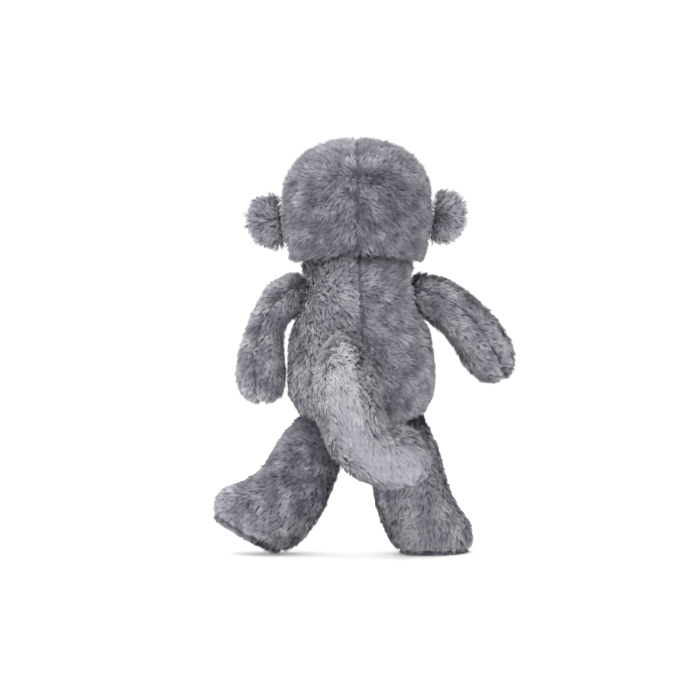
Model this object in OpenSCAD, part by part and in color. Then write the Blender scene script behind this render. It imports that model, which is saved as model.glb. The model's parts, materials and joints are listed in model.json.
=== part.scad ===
// Stuffed monkey: sewn fur panels over polyester stuffing, with seams that let
// the head, limbs, tail and ears move.
// Millimetres, +Z up. The face looks towards -Y and the toy's own left is +X.
// The origin is on the floor, under the middle of the toy.

/* [Head] */
// Width of the head between the ears
head_w = 125; // [118:1:130]
// Height of the head from chin to crown
head_h = 112; // [108:1:116]
// Depth of the head without its muzzle
head_d = 106; // [100:1:112]
// Radius of an ear's round edge
ear_r = 24; // [20:1:26]
// Height of the muzzle over the face
muzzle_h = 16; // [12:1:20]
// Radius of an eye
eye_r = 5.5; // [4.5:0.5:6.5]

/* [Torso] */
// Greatest width of the torso
torso_w = 120; // [116:1:124]
// Greatest depth of the torso
torso_d = 92; // [86:1:96]
// Height from the hip joints to the neck joint
torso_h = 120; // [116:1:124]
// Radius of the shoulders' dome, which the head turns on
neck_r = 47; // [45:1:48]
// How far the neck sits to the left of the seat
body_lean = 3; // [0:1:4]
// How far the back bows out to the right between the seat and the neck
torso_bow = 2; // [0:0.5:3]

/* [Arms] */
// Length of an arm from the shoulder joint to the tip of the paw
arm_l = 98; // [92:1:102]
// Greatest width of a paw
paw_w = 44; // [40:1:46]
// Thickness of an arm
arm_t = 31; // [28:1:33]
// How far the left arm is lifted from the torso, in degrees
left_arm_lift = 8; // [8:1:20]
// How far the left forearm turns in towards the torso, in degrees
left_arm_curl = 14; // [0:1:14]
// Share of its width that the left arm keeps beside the torso, which presses on it
left_arm_press = 0.75; // [0.7:0.05:0.8]
// How far the right arm is lifted from the torso, in degrees
right_arm_lift = 25; // [10:1:35]

/* [Legs] */
// Height of a hip joint over the sole
leg_h = 98; // [94:1:102]
// Width of a leg across the foot
leg_w = 64; // [56:1:64]
// Length of a foot from heel to toe
foot_l = 84; // [74:1:84]
// How far the left foot is tipped up, in degrees
left_foot_tip = 29; // [20:1:32]
// How far the right leg leans out from the hip to the foot
right_leg_lean = 19; // [8:1:22]
// How far the right foot is turned forwards from sideways, in degrees
right_foot_turn = 50; // [0:1:60]

/* [Tail] */
// Thickness of the tail
tail_w = 46; // [38:1:46]
// Length of the tail along its curl
tail_l = 150; // [140:1:156]

/* [Fabric] */
// Thickness of the fur fabric with its pile pressed flat
skin = 4; // [3:0.5:5]
// Radius of the rolled seam at a joint
seam_r = 0.9; // [0.6:0.1:1]
// Radius of the thread in an open seam
thread_r = 0.5; // [0.3:0.1:0.5]

/* [Hidden] */
// Clearances
gap = 0.3;
stuffing_gap = 0.7;
joint_gap = 3.6;
// Half of a seam's slot, in degrees round a form
seam_slot = 0.8;
// Joint balls, at the roots of the limbs
shoulder_r = 18;
hip_r = 23;
tail_root_r = 14;
// Heights of the joints over the floor
hip_z = leg_h;
// The left hip sits where its tipped foot puts the heel on the floor. The heel's
// end is this far behind the hip
heel_x = 19;
left_hip_z = leg_h * cos(left_foot_tip) + heel_x * sin(left_foot_tip);
neck_z = hip_z + torso_h;
head_z = neck_z + 61;
shoulder_z = neck_z - 9;
tail_z = hip_z + 68;
// Places of the joints
body_x = 2.5;
body_y = -12.5;
neck = [body_x + body_lean, body_y - 2, neck_z];
shoulder_out = 53;
hip_out = 33;
left_shoulder = [neck.x + shoulder_out, body_y - 4, shoulder_z];
right_shoulder = [neck.x - shoulder_out, body_y - 4, shoulder_z];
left_hip = [body_x + hip_out, body_y - 5, left_hip_z];
right_hip = [body_x - hip_out, body_y - 5, hip_z];
tail_root = [body_x + 14, body_y + torso_d / 2 + 5, tail_z];
// Safety eyes
stem_r = 2;
stem_l = 13;
washer_r = 6.5;
washer_t = 1.6;
// Soles
sole_t = 3.5;
// Colours
fur = [0.50, 0.49, 0.53];
fur_dark = [0.43, 0.42, 0.46];
fur_pale = [0.68, 0.68, 0.71];
short_pile = [0.78, 0.75, 0.73];
filling = [0.93, 0.93, 0.90];
thread_grey = [0.25, 0.25, 0.28];
black_plastic = [0.05, 0.04, 0.04];

// ---- Soft forms -------------------------------------------------------------
// A form is a run of oval rows, each [x, y, z, half width, half depth], joined by
// a smooth curve. u is the angle round a row in degrees, and t runs from 0 at the
// first row to 1 at the last. An upright form keeps its rows level, and any other
// turns them square to its middle line.

function unit(v) = v / norm(v);

function mix(a, b, f) = a + (b - a) * f;

// The smooth curve through four neighbours, at f between the second and the third
function curve(a, b, c, d, f) =
    b + (c - a) * f / 2 + (2 * a - 5 * b + 4 * c - d) * f ^ 2 / 2 + (3 * b - a - 3 * c + d) * f ^ 3 / 2;

// Radii are kept squared, so that a form closes with a round end. A form with a
// ball, [centre, radius, way to the root], keeps its root inside that joint ball
function form(rows, upright, ball = []) =
    [[for (r = rows) [r[0], r[1], r[2], r[3] ^ 2, r[4] ^ 2]], upright, ball];

function row_at(form, t) =
    let (rows = form[0], last = len(rows) - 1, s = t * last, i = min(floor(s), last - 1))
    curve(rows[max(i - 1, 0)], rows[i], rows[i + 1], rows[min(i + 2, last)], s - i);

function radius(squared) = squared < 0.001 ? 0 : sqrt(squared);

function middle(form, t) = let (r = row_at(form, t)) [r[0], r[1], r[2]];

function heading(form, t) =
    form[1] ? [0, 0, 1] : unit(middle(form, min(t + 0.02, 1)) - middle(form, max(t - 0.02, 0)));

function outside(form, u, t) =
    let (r = row_at(form, t), ahead = heading(form, t), side = unit(cross([0, 1, 0], ahead)))
    [r[0], r[1], r[2]] + side * cos(u) * radius(r[3]) + cross(ahead, side) * sin(u) * radius(r[4]);

// The way out of the surface
function normal(form, u, t) =
    radius(row_at(form, t)[3]) == 0
    ? heading(form, t) * (t < 0.5 ? -1 : 1)
    : let (
        around = outside(form, u + 2, t) - outside(form, u - 2, t),
        along = outside(form, u, min(t + 0.01, 1)) - outside(form, u, max(t - 0.01, 0))
    )
    unit(cross(around, along));

function in_ball(p, ball, depth) =
    let (from = len(ball) == 0 ? [0, 0, 0] : p - ball[0])
    len(ball) > 0 && from * ball[2] > 0 && norm(from) > ball[1] - depth
    ? ball[0] + unit(from) * (ball[1] - depth)
    : p;

// A point on the surface, or under it by depth
function place(form, u, t, depth) =
    in_ball(outside(form, u, t) - normal(form, u, t) * depth, form[2], depth);

function patch(form, us, ts, depth) = [for (t = ts) [for (u = us) place(form, u, t, depth)]];

function steps(from, to, count) = [for (i = [0:count]) mix(from, to, i / count)];

// Steps that crowd towards both ends, where a form rounds off
function crowded(from, to, count) = [for (i = [0:count]) mix(from, to, (1 - cos(180 * i / count)) / 2)];

function some(list, from, to) = [for (i = [from:to]) list[i]];

function quad(a, b, c, d) = [[a, b, c], [a, c, d]];

// A sewn panel: the closed sheet between an outer and an inner grid of points
module sheet(outer, inner) {
    last_row = len(outer) - 1;
    last = len(outer[0]) - 1;
    in = (last_row + 1) * (last + 1);
    function at(i, j) = i * (last + 1) + j;
    polyhedron(
        concat([for (row = outer) each row], [for (row = inner) each row]),
        concat(
            [for (i = [0:last_row - 1], j = [0:last - 1])
                each quad(at(i, j), at(i + 1, j), at(i + 1, j + 1), at(i, j + 1))],
            [for (i = [0:last_row - 1], j = [0:last - 1])
                each quad(in + at(i, j), in + at(i, j + 1), in + at(i + 1, j + 1), in + at(i + 1, j))],
            [for (j = [0:last - 1])
                each quad(at(0, j), at(0, j + 1), in + at(0, j + 1), in + at(0, j))],
            [for (j = [0:last - 1])
                each quad(
                    at(last_row, j + 1), at(last_row, j),
                    in + at(last_row, j), in + at(last_row, j + 1)
                )],
            [for (i = [0:last_row - 1])
                each quad(at(i + 1, 0), at(i, 0), in + at(i, 0), in + at(i + 1, 0))],
            [for (i = [0:last_row - 1])
                each quad(at(i, last), at(i + 1, last), in + at(i + 1, last), in + at(i, last))]
        )
    );
}

function mean(points) = points * [for (p = points) 1] / len(points);

// A flat end gets a middle point, and a pointed end needs none
function end_row(row) =
    norm(row[0] - row[1]) < 0.001
    ? []
    : let (centre = [for (k = [0:2]) mean([for (p = row) p[k]])]) [[for (p = row) centre]];

// A closed solid through rings of points, from its first end to its last
module lump(rings) {
    rows = concat(end_row(rings[0]), rings, end_row(rings[len(rings) - 1]));
    count = len(rows[0]);
    function at(i, j) = i * count + j % count;
    polyhedron(
        [for (row = rows) each row],
        [for (i = [0:len(rows) - 2], j = [0:count - 1])
            each quad(at(i, j), at(i + 1, j), at(i + 1, j + 1), at(i, j + 1))]
    );
}

function ring_of(count) = [for (j = [0:count - 1]) 360 * j / count];

// A panel from one seam to the next, with half of each seam's slot left open
module panel(form, from, to, columns, ts) {
    us = steps(from + seam_slot, to - seam_slot, columns);
    sheet(patch(form, us, ts, 0), patch(form, us, ts, skin));
}

module stuffing(form, columns, ts) {
    lump(patch(form, ring_of(columns), ts, skin + stuffing_gap));
}

module thread(points) {
    rows = [for (p = points) [p.x, p.y, p.z, thread_r, thread_r]];
    lump(patch(form(rows, false), ring_of(6), steps(0, 1, len(points) - 1), 0));
}

// Turns +Z to the way d
module facing(d) {
    rotate([0, acos(d.z / norm(d)), atan2(d.y, d.x)])
        children();
}

// The hollow that a joint ball turns in
module ball_hollow(centre, ball_r) {
    translate(centre)
        sphere(ball_r + joint_gap, $fn = 96);
}

// The rolled seam round a joint ball, in the gap between the ball and its hollow.
// It lies at the angle spread from the way into the joint.
module joint_seam(centre, way, ball_r, spread = 64) {
    reach = ball_r + joint_gap / 2;
    color(thread_grey)
        translate(centre)
            facing(way)
                translate([0, 0, reach * cos(spread)])
                    rotate_extrude($fn = 96)
                        translate([reach * sin(spread), 0])
                            circle(seam_r, $fn = 24);
}

// ---- Head -------------------------------------------------------------------

head_tall = head_h / 2;
head_wide = head_w / 2;
head_deep = head_d / 2;
head_x = neck.x;
head_y = neck.y;
// Height, width and depth of the head's rows, as shares of its half sizes
head_rows = [
    [-1, 0, 0], [-0.86, 0.74, 0.8], [-0.68, 0.89, 0.93], [-0.36, 0.99, 0.99], [0, 1, 1],
    [0.36, 0.95, 0.96], [0.68, 0.79, 0.81], [0.89, 0.5, 0.51], [1, 0, 0]
];
// The ears' base lines
ear_out = head_wide - 2;
// The right ear sits a little higher than the left
function ear_z(side) = head_z - 8.25 - side * 1.75;
ear_base = ear_r * 0.85;
ear_droop = 10;
ear_back_t = 4.5;
ear_lining_t = 3.2;
ear_room = 7.4;

head = form(
    [for (r = head_rows) [head_x, head_y, head_z + r[0] * head_tall, r[1] * head_wide, r[2] * head_deep]],
    true
);
head_steps = crowded(0, 1, 14);
neck_row = 2;
brow_row = 10;
crown_row = 14;
// Angles of the seams round the head, with the back at 90 degrees
back_u = 90;
face_from = 215;
face_to = 325;

// Puts children at an ear, with its base line along Z and its edge towards side
module at_ear(side) {
    translate([head_x + side * ear_out, head_y, ear_z(side)])
        rotate([0, side * ear_droop, 0])
            children();
}

// Cuts the room for the neck and the ears out of a piece of the head
module head_hollows() {
    difference() {
        children();
        ball_hollow(neck, neck_r);
        for (side = [-1, 1])
            at_ear(side) {
                cylinder(h = 2 * ear_base, r = ear_room, center = true, $fn = 64);
                for (end = [-1, 1])
                    translate([0, 0, end * ear_base])
                        sphere(ear_room, $fn = 64);
            }
    }
}

module head_back_left() {
    color(fur)
        head_hollows()
            panel(head, face_to - 360, back_u, 9, some(head_steps, neck_row, crown_row));
}

module head_back_right() {
    color(fur)
        head_hollows()
            panel(head, back_u, face_from, 9, some(head_steps, neck_row, crown_row));
}

module forehead() {
    color(fur_dark)
        panel(head, face_from, face_to, 8, some(head_steps, brow_row, crown_row));
}

module face() {
    color(short_pile)
        difference() {
            panel(head, face_from, face_to, 8, some(head_steps, neck_row, brow_row));
            ball_hollow(neck, neck_r);
            for (side = [-1, 1])
                on_eye(side)
                    cylinder(h = 2 * stem_l, r = stem_r + gap, center = true, $fn = 32);
        }
}

module head_back_thread() {
    color(thread_grey)
        thread([for (t = steps(head_steps[neck_row + 2], head_steps[crown_row - 4], 20))
            place(head, back_u, t, skin / 2)]);
}

module head_stuffing() {
    color(filling)
        difference() {
            head_hollows()
                stuffing(head, 24, head_steps);
            for (side = [-1, 1])
                on_eye(side)
                    translate([0, 0, -stem_l - 2])
                        cylinder(h = stem_l + 4, r = washer_r + 1, $fn = 32);
        }
}

// The muzzle, nose and mouth lie over a round patch of the face, where rise is
// the height over the head's surface
front_u = 270;
muzzle_t = 0.36;
muzzle_spread = [33, 0.17];
nose_t = 0.455;
nose_spread = [9, 0.042];

function muzzle_share(u, t) = norm([(u - front_u) / muzzle_spread[0], (t - muzzle_t) / muzzle_spread[1]]);

function muzzle_rise(u, t) = skin + (muzzle_h - skin) * sqrt(max(0, 1 - muzzle_share(u, t) ^ 2));

// A closed pad on the head, between the heights low and high, which are functions
// of u, t and the share of the way to the pad's edge
module pad(t_middle, spread, low, high) {
    shares = [for (a = [0:18:90]) sin(a)];
    function at(share, angle, height) =
        let (u = front_u + spread[0] * share * cos(angle), t = t_middle + spread[1] * share * sin(angle))
        place(head, u, t, -height(u, t, share));
    lump(concat(
        [for (k = [0:5]) [for (a = ring_of(20)) at(shares[k], a, low)]],
        [for (k = [5:-1:0]) [for (a = ring_of(20)) at(shares[k], a, high)]]
    ));
}

module muzzle() {
    color(short_pile)
        pad(
            muzzle_t, muzzle_spread,
            function (u, t, share) muzzle_rise(u, t) - skin + gap,
            function (u, t, share) muzzle_rise(u, t)
        );
}

module muzzle_stuffing() {
    color(filling)
        pad(
            muzzle_t, muzzle_spread * 0.95,
            function (u, t, share) gap,
            function (u, t, share) muzzle_rise(u, t) - skin - gap
        );
}

module nose() {
    nose_h = 4;
    color(black_plastic)
        pad(
            nose_t, nose_spread,
            function (u, t, share) muzzle_rise(u, t) + gap,
            function (u, t, share) muzzle_rise(u, t) + gap + nose_h * sqrt(max(0.05, 1 - share ^ 2))
        );
}

module mouth_stitch() {
    smile = 16;
    dip = 0.035;
    mouth_t = muzzle_t - 0.01;
    color(thread_grey)
        thread([for (f = steps(-1, 1, 12))
            let (u = front_u + smile * f, t = mouth_t - dip * (1 - f ^ 2))
            place(head, u, t, -muzzle_rise(u, t) - thread_r - gap)]);
}

// Eyes, on stems through the face, with lock washers behind it
eye_spread = 19;
eye_t = 0.585;

module on_eye(side) {
    u = front_u + side * eye_spread;
    translate(place(head, u, eye_t, 0))
        facing(normal(head, u, eye_t))
            children();
}

module eye(side) {
    dome_h = 3.8;
    ball_r = (eye_r ^ 2 + dome_h ^ 2) / (2 * dome_h);
    color(black_plastic)
        on_eye(side) {
            intersection() {
                translate([0, 0, gap + dome_h - ball_r])
                    sphere(ball_r, $fn = 48);
                translate([0, 0, gap])
                    cylinder(h = 2 * dome_h, r = ball_r, $fn = 48);
            }
            translate([0, 0, -stem_l])
                cylinder(h = stem_l + gap + 1, r = stem_r, $fn = 32);
        }
}

module eye_washer(side) {
    color(filling)
        on_eye(side)
            translate([0, 0, -skin - 1.2 - washer_t])
                difference() {
                    cylinder(h = washer_t, r = washer_r, $fn = 48);
                    cylinder(h = 3 * washer_t, r = stem_r + 0.05, center = true, $fn = 32);
                }
}

module left_eye() { eye(1); }
module right_eye() { eye(-1); }
module left_eye_washer() { eye_washer(1); }
module right_eye_washer() { eye_washer(-1); }

// An ear is two flat panels, each between two depths behind its middle plane
module ear_panel(side, from, to) {
    at_ear(side)
        rotate([90, 0, 0])
            translate([0, 0, -to])
                linear_extrude(to - from)
                    intersection() {
                        translate([side * ear_r * 0.12, 0])
                            circle(ear_r, $fn = 96);
                        translate([side * ear_r, 0])
                            square([2 * ear_r, 2 * ear_base], center = true);
                    }
}

module ear_back(side) {
    color(fur)
        ear_panel(side, gap / 2, ear_back_t);
}

module ear_lining(side) {
    color(short_pile)
        ear_panel(side, -ear_lining_t, -gap / 2);
}

module left_ear_back() { ear_back(1); }
module left_ear_lining() { ear_lining(1); }
module right_ear_back() { ear_back(-1); }
module right_ear_lining() { ear_lining(-1); }

module neck_seam() {
    joint_seam(neck, [0, 0, 1], neck_r, spread = 70);
}

// ---- Torso ------------------------------------------------------------------

torso_wide = torso_w / 2;
torso_deep = torso_d / 2;
// Height over the hips as a share of the torso, then width, depth and forward shift
torso_rows = [
    [0, 0, 0, 9], [0.05, 0.6, 0.52, 8], [0.2, 0.94, 0.82, 5], [0.4, 1, 1, 1], [0.62, 0.95, 0.98, -1],
    [0.82, 0.85, 0.93, -2]
];
// The dome over the neck joint, by the angle up from the joint
dome_angles = [8, 32, 60, 90];

torso = form(
    concat(
        [for (r = torso_rows)
            [
                body_x + body_lean * r[0] - torso_bow * sin(180 * r[0]), body_y + r[3],
                hip_z + r[0] * torso_h,
                r[1] * torso_wide, r[2] * torso_deep
            ]],
        [for (a = dome_angles)
            [neck.x, neck.y, neck_z + neck_r * sin(a), (neck_r - 0.5) * cos(a), (neck_r - 3) * cos(a)]]
    ),
    true,
    [neck, neck_r, [0, 0, 1]]
);
torso_steps = crowded(0, 1, 18);
waist_row = 5;
collar_row = 14;
side_u = 20;

// Cuts the room for the limbs' roots out of a piece of the torso
module torso_hollows() {
    difference() {
        children();
        for (shoulder = [left_shoulder, right_shoulder])
            ball_hollow(shoulder, shoulder_r);
        for (hip = [left_hip, right_hip])
            ball_hollow(hip, hip_r);
        ball_hollow(tail_root, tail_root_r);
    }
}

module torso_back_left() {
    color(fur)
        torso_hollows()
            panel(torso, -side_u, back_u, 10, some(torso_steps, 0, collar_row));
}

module torso_back_right() {
    color(fur)
        torso_hollows()
            panel(torso, back_u, 180 + side_u, 10, some(torso_steps, 0, collar_row));
}

module belly() {
    color(fur_pale)
        torso_hollows()
            panel(torso, 180 + side_u, 360 - side_u, 11, some(torso_steps, 0, collar_row));
}

module torso_stuffing() {
    color(filling)
        torso_hollows()
            stuffing(torso, 28, some(torso_steps, waist_row, len(torso_steps) - 1));
}

module seat_bean_bag() {
    top = torso_steps[waist_row] - 0.006;
    color(short_pile)
        torso_hollows()
            stuffing(torso, 28, [for (t = some(torso_steps, 0, waist_row)) min(t, top)]);
}

module torso_back_thread() {
    color(thread_grey)
        thread([for (t = steps(torso_steps[10], torso_steps[collar_row - 1], 14))
            place(torso, back_u, t, skin / 2)]);
}

// ---- Arms -------------------------------------------------------------------

// An arm leaves the shoulder at a slant and then hangs. Its middle line is a run
// of straight steps, each [degrees from straight down, share of the arm's length]
arm_line = [[45, 0.17], [40, 0.17], [24, 0.17], [11, 0.17], [5, 0.16], [3, 0.1], [3, 0.06]];
// Half widths and half thicknesses at the ends of the steps, from the shoulder
arm_half_widths = [
    0, shoulder_r, shoulder_r + 0.5, paw_w * 0.44, paw_w * 0.49, paw_w * 0.48, paw_w * 0.32, 0
];
arm_half_depths = [0, shoulder_r, arm_t * 0.54, arm_t * 0.5, arm_t * 0.5, arm_t * 0.48, arm_t * 0.32, 0];

// The first step of the forearm
forearm = 2;

function arm_way(side, i) =
    let (slant = arm_line[i][0] - (side > 0 && i >= forearm ? left_arm_curl : 0))
        [sin(slant), 0, -cos(slant)];

function arm_middle(side, i) =
    i == 0
    ? -arm_way(side, 0) * shoulder_r
    : arm_middle(side, i - 1) + arm_way(side, i - 1) * arm_line[i - 1][1] * (arm_l + shoulder_r);

// The share of its width that an arm keeps at each step
function press(side, i) = side > 0 ? [1, 1, left_arm_press, left_arm_press, 0.92, 1, 1, 1][i] : 1;

function arm(side) = form(
    [for (i = [0:len(arm_line)])
        [each arm_middle(side, i), press(side, i) * arm_half_widths[i], arm_half_depths[i]]],
    false,
    [[0, 0, 0], shoulder_r, -arm_way(side, 0)]
);
arm_steps = crowded(0, 1, 10);
// The seam along the back of the arm, with the outer side at 180 degrees
arm_seam_u = 105;

// Places a left arm, or its mirror image, by its shoulder joint
module at_shoulder(side) {
    translate(side > 0 ? left_shoulder : right_shoulder)
        mirror([side > 0 ? 0 : 1, 0, 0])
            rotate([0, side > 0 ? -left_arm_lift : -right_arm_lift, 0])
                children();
}

module arm_outer(side) {
    color(fur)
        at_shoulder(side)
            panel(arm(side), arm_seam_u, arm_seam_u + 180, 8, arm_steps);
}

module arm_inner(side) {
    color(fur_dark)
        at_shoulder(side)
            panel(arm(side), arm_seam_u - 180, arm_seam_u, 8, arm_steps);
}

module arm_stuffing(side) {
    color(filling)
        at_shoulder(side)
            stuffing(arm(side), 16, arm_steps);
}

module left_arm_outer() { arm_outer(1); }
module left_arm_inner() { arm_inner(1); }
module left_arm_stuffing() { arm_stuffing(1); }
module left_shoulder_seam() { joint_seam(left_shoulder, [-1, 0, 0], shoulder_r, spread = 56); }
module right_arm_outer() { arm_outer(-1); }
module right_arm_inner() { arm_inner(-1); }
module right_arm_stuffing() { arm_stuffing(-1); }
module right_shoulder_seam() { joint_seam(right_shoulder, [1, 0, 0], shoulder_r, spread = 56); }

// ---- Legs -------------------------------------------------------------------

// A leg stands on its own sole with its foot towards +X. Its rows give the height
// as a share of the leg, the way out to the toe, the half length and half width
leg_half = leg_w / 2;
foot_half = foot_l / 2;
leg_rows = [
    [0, 0.76 * foot_half - heel_x, 0.76 * foot_half, 0.8 * leg_half],
    [0.1, 11, 0.92 * foot_half, 0.95 * leg_half],
    [0.24, 8, 0.91 * foot_half, leg_half], [0.42, -1, 0.74 * foot_half, 0.97 * leg_half],
    [0.6, -2, 0.69 * foot_half, 0.93 * leg_half], [0.8, 0, 0.66 * foot_half, 0.85 * leg_half]
];
hip_angles = [0, 35, 65, 90];

leg = form(
    concat(
        [for (r = leg_rows) [r[1], 0, (r[0] - 1) * (leg_h - sole_t - gap), r[2], r[3]]],
        [for (a = hip_angles) [0, 0, hip_r * sin(a), hip_r * cos(a), hip_r * cos(a)]]
    ),
    true,
    [[0, 0, 0], hip_r, [0, 0, 1]]
);

leg_steps = concat(steps(0, 0.7, 7), [0.78, 0.86, 0.93, 1]);

// Places a left leg, or its mirror image, by its hip joint. The left leg swings
// out with its foot, and the right one slants out over a level foot
module at_hip(side) {
    slant = -right_leg_lean / leg_h;
    translate(side > 0 ? left_hip : right_hip)
        if (side > 0)
            rotate([0, -left_foot_tip, 0])
                children();
        else
            mirror([1, 0, 0])
                multmatrix([[1, 0, slant, 0], [0, 1, 0, 0], [0, 0, 1, 0]])
                    rotate([0, 0, -right_foot_turn])
                        children();
}

// Places a left sole, or its mirror image, by the middle of the leg's root
module at_sole(side) {
    translate(side > 0 ? left_hip : right_hip)
        if (side > 0)
            rotate([0, -left_foot_tip, 0])
                translate([0, 0, -leg_h])
                    children();
        else
            mirror([1, 0, 0])
                translate([right_leg_lean, 0, -leg_h])
                    rotate([0, 0, -right_foot_turn])
                        children();
}

module leg_back(side) {
    color(fur)
        at_hip(side)
            panel(leg, 0, 180, 10, leg_steps);
}

module leg_front(side) {
    color(fur)
        at_hip(side)
            panel(leg, 180, 360, 10, leg_steps);
}

module leg_stuffing(side) {
    color(filling)
        at_hip(side)
            stuffing(leg, 20, leg_steps);
}

module sole(side) {
    round_r = leg_rows[0][3];
    reach = leg_rows[0][2] - round_r;
    color(short_pile)
        at_sole(side)
            translate([leg_rows[0][1], 0, 0])
                linear_extrude(sole_t) {
                    square([2 * reach, 2 * round_r], center = true);
                    for (way = [-1, 1])
                        translate([way * reach, 0])
                            circle(round_r, $fn = 48);
                }
}

module left_leg_front() { leg_front(1); }
module left_leg_back() { leg_back(1); }
module left_leg_stuffing() { leg_stuffing(1); }
module left_sole() { sole(1); }
module left_hip_seam() { joint_seam(left_hip, [-0.5, 0, 0.86], hip_r); }
module right_leg_front() { leg_front(-1); }
module right_leg_back() { leg_back(-1); }
module right_leg_stuffing() { leg_stuffing(-1); }
module right_sole() { sole(-1); }
module right_hip_seam() { joint_seam(right_hip, [0.5, 0, 0.86], hip_r); }

// ---- Tail -------------------------------------------------------------------

// The tail hangs from its root and curls to the right. Its middle line is in
// steps from the root, for a tail 150 long
tail_line = [
    [0, -8, 11], [0, 10, -8], [-2, 21, -24], [-5, 25, -45], [-12, 23, -65], [-25, 18, -79], [-42, 14, -82],
    [-56, 13, -79], [-64, 13, -76]
];
tail_half = [0, 0.8, 1, 1.02, 1.04, 1.04, 1.04, 0.88, 0];

tail = form(
    [for (i = [0:len(tail_line) - 1])
        [each tail_root + tail_line[i] * tail_l / 150, tail_half[i] * tail_w / 2, tail_half[i] * tail_w / 2]],
    false,
    [tail_root, tail_root_r, unit(tail_line[0])]
);
tail_steps = crowded(0, 1, 16);
tail_seam_u = 60;

module tail_outer() {
    color(fur_pale)
        panel(tail, tail_seam_u, tail_seam_u + 180, 9, tail_steps);
}

module tail_inner() {
    color(fur)
        panel(tail, tail_seam_u - 180, tail_seam_u, 9, tail_steps);
}

module tail_stuffing() {
    color(filling)
        stuffing(tail, 18, tail_steps);
}

module tail_seam() {
    joint_seam(tail_root, [0, -1, 0], tail_root_r);
}

head_back_left();
head_back_right();
forehead();
face();
muzzle();
nose();
mouth_stitch();
left_eye();
right_eye();
left_eye_washer();
right_eye_washer();
head_stuffing();
muzzle_stuffing();
head_back_thread();
left_ear_back();
left_ear_lining();
right_ear_back();
right_ear_lining();
neck_seam();
torso_back_left();
torso_back_right();
belly();
torso_stuffing();
seat_bean_bag();
torso_back_thread();
left_shoulder_seam();
left_arm_outer();
left_arm_inner();
left_arm_stuffing();
right_shoulder_seam();
right_arm_outer();
right_arm_inner();
right_arm_stuffing();
left_hip_seam();
left_leg_front();
left_leg_back();
left_leg_stuffing();
left_sole();
right_hip_seam();
right_leg_front();
right_leg_back();
right_leg_stuffing();
right_sole();
tail_seam();
tail_outer();
tail_inner();
tail_stuffing();
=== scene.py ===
# A stuffed monkey: fur-fabric panels over stuffed skins, sewn seams, safety eyes and a sewn nose.
import json
import math

import bmesh
import bpy
import numpy as np
from mathutils import Matrix, Vector, kdtree, noise
from mathutils.bvhtree import BVHTree


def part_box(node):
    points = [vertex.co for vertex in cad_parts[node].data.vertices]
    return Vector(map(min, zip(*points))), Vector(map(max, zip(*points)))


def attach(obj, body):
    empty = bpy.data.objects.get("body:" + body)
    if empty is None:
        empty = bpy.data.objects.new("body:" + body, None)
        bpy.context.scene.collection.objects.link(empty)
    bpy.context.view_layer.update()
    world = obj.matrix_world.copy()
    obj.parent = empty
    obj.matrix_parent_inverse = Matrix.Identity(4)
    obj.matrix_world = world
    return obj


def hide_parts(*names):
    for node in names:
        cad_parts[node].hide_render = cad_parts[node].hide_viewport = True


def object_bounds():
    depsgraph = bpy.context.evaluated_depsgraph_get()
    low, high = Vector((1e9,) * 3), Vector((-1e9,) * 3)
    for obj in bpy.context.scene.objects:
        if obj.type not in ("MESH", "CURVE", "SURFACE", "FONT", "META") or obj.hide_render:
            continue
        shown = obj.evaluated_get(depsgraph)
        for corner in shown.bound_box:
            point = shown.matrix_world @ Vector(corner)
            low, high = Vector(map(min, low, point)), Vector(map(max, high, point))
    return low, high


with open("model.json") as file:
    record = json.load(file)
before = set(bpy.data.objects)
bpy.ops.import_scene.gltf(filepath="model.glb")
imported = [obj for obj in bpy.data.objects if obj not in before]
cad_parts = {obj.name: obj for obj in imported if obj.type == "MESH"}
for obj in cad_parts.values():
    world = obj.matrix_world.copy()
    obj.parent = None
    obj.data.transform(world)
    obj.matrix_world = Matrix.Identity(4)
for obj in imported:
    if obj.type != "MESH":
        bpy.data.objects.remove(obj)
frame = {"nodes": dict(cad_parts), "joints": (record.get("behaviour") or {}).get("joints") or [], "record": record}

MM = 0.001
TINY = 1e-12                 # keeps a divisor above zero
cad_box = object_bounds()
cad_low, cad_high = (Vector(corner) for corner in cad_box)
cad_middle = (cad_low + cad_high) / 2
cad_height = cad_high.z - cad_low.z
scene = bpy.context.scene

JOINT_OF = {joint["child"]: Vector(joint["pos_m"]) for joint in frame["joints"]}
SLOT_OF = {subpart["node"]: subpart["material_slot"] for subpart in frame["record"]["subparts"]}
BODIES = frame["record"]["behaviour"]["bodies"]


def srgb(red, green, blue):
    """The linear colour of an 8-bit sRGB colour."""
    def linear(level):
        level /= 255
        return level / 12.92 if level <= 0.04045 else ((level + 0.055) / 1.055) ** 2.4
    return (linear(red), linear(green), linear(blue), 1.0)


def clamp(values, low=0.0, high=1.0):
    return np.minimum(np.maximum(values, low), high)


def unit(vectors):
    return vectors / np.maximum(np.linalg.norm(vectors, axis=-1, keepdims=True), TINY)


def up_the_box(node, share=0.5):
    """The middle of a CAD node's box, but this share of the way up it."""
    low, high = (Vector(corner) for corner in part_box(node))
    middle = (low + high) / 2
    middle.z = low.z + share * (high.z - low.z)
    return middle


# ---------------------------------------------------------------- the kinds of pile

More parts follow.
